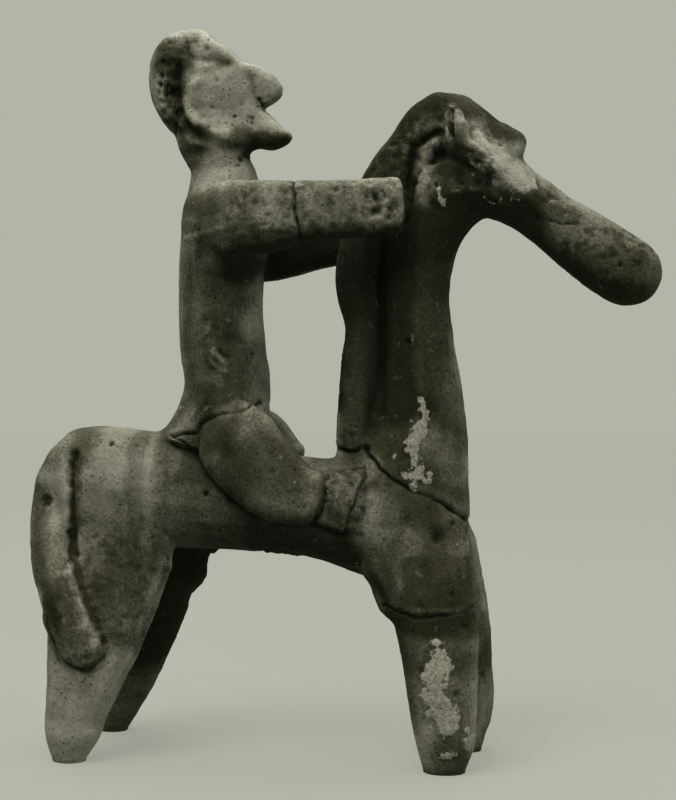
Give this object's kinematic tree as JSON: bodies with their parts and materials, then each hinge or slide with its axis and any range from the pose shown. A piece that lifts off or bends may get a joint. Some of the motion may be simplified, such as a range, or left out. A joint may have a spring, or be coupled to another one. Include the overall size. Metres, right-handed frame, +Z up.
{
  "type": "horse and rider figurine",
  "caption": "Hand-rolled clay figurine of a standing horse and its rider in one solid, the rider's outstretched arms joined to the horse's upright neck.",
  "frame": {"origin": "middle of the bounding box in plan, on the ground that the four feet stand on", "axes": "+X the way the horse looks, +Y towards its left flank, +Z up"},
  "size_m": [0.1748, 0.0556, 0.203],
  "materials": {
    "terracotta": "unglazed, matt, gritty, with patches of pale crust"
  },
  "bodies": {
    "root": {"horse_and_rider": "terracotta"}
  },
  "joints": []
}
